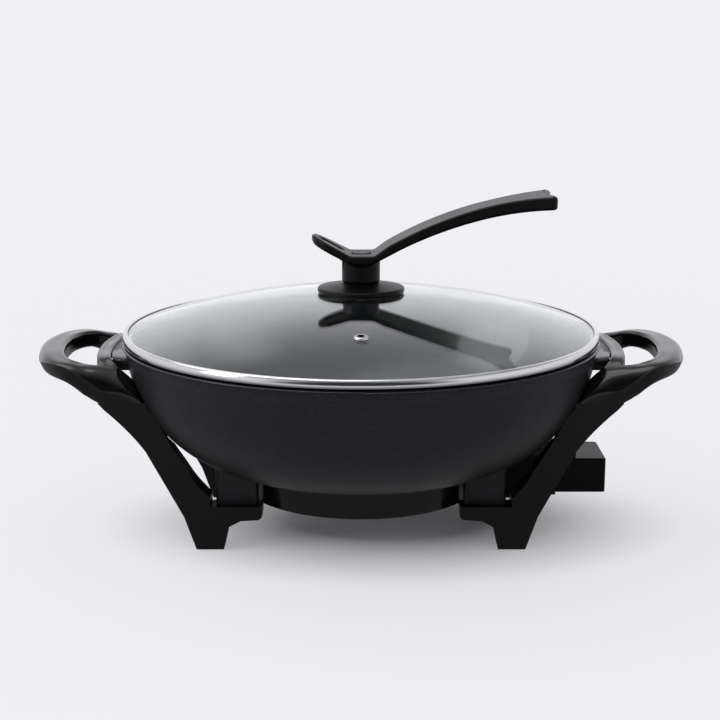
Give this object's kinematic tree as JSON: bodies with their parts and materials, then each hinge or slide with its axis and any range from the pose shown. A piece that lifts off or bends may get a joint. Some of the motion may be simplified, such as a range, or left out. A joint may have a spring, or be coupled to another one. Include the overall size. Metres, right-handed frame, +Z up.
{
  "type": "electric wok",
  "caption": "Black electric wok on moulded legs, with loop grips, a lift-off domed glass lid with a bowed handle and a plug-in thermostat controller.",
  "frame": {"origin": "on the table, under the middle of the bowl", "axes": "+X towards the controller, +Y away from the user, +Z up"},
  "size_m": [0.492, 0.3619, 0.2567],
  "materials": {
    "cast_coating": "satin",
    "clear_glass": "clear",
    "polished_steel": "polished",
    "plain_steel": "satin",
    "element_steel": "satin",
    "nickel": "polished",
    "brass": "satin",
    "black_gloss": "gloss",
    "black_satin": "satin",
    "black_rubber": "matte",
    "ceramic": "matte",
    "lamp_red": "gloss"
  },
  "bodies": {
    "wok": {"pan": "cast_coating", "grip_right": "black_gloss", "grip_left": "black_gloss", "leg_front_right": "black_satin", "leg_rear_right": "black_satin", "leg_rear_left": "black_satin", "leg_front_left": "black_satin", "foot_pad_front_right": "black_rubber", "foot_pad_rear_right": "black_rubber", "foot_pad_rear_left": "black_rubber", "foot_pad_front_left": "black_rubber", "base_ring": "black_satin", "bottom_cover": "plain_steel", "heating_element": "element_steel", "terminal_pins": "nickel", "terminal_insulators": "ceramic", "socket_shroud": "black_satin", "leg_screws_lower": "plain_steel", "leg_screws_upper": "plain_steel", "grip_screws": "plain_steel", "bottom_cover_screws": "plain_steel", "shroud_screws": "plain_steel"},
    "lid": {"lid_glass": "clear_glass", "lid_rim": "polished_steel", "lid_vent_grommet": "polished_steel", "lid_knob_seal": "black_rubber", "lid_knob_base": "black_gloss", "lid_handle_arm": "black_gloss", "lid_handle_cap": "black_gloss", "lid_insert": "brass", "lid_screw_seal": "black_rubber", "lid_screw_washer": "plain_steel", "lid_screw": "plain_steel"},
    "controller": {"controller_base": "black_gloss", "controller_cover": "black_gloss", "controller_probe": "polished_steel", "controller_sleeves": "brass", "thermostat_block": "ceramic", "controller_lamp": "lamp_red", "controller_gland": "black_satin", "controller_screws": "plain_steel"},
    "dial_knob": {"dial": "black_satin", "dial_shaft": "nickel"}
  },
  "joints": [
    {"name": "lid_lift", "type": "slide", "parent": "wok", "child": "lid", "axis": [0, 0, 1], "range_m": [0, 0.12]},
    {"name": "controller_unplug", "type": "slide", "parent": "wok", "child": "controller", "axis": [1, 0, 0], "range_m": [0, 0.11]},
    {"name": "dial_turn", "type": "hinge", "parent": "controller", "child": "dial_knob", "pos_m": [0.183, 0, 0.0425], "axis": [1, 0, 0], "range_deg": [0, 240]}
  ]
}
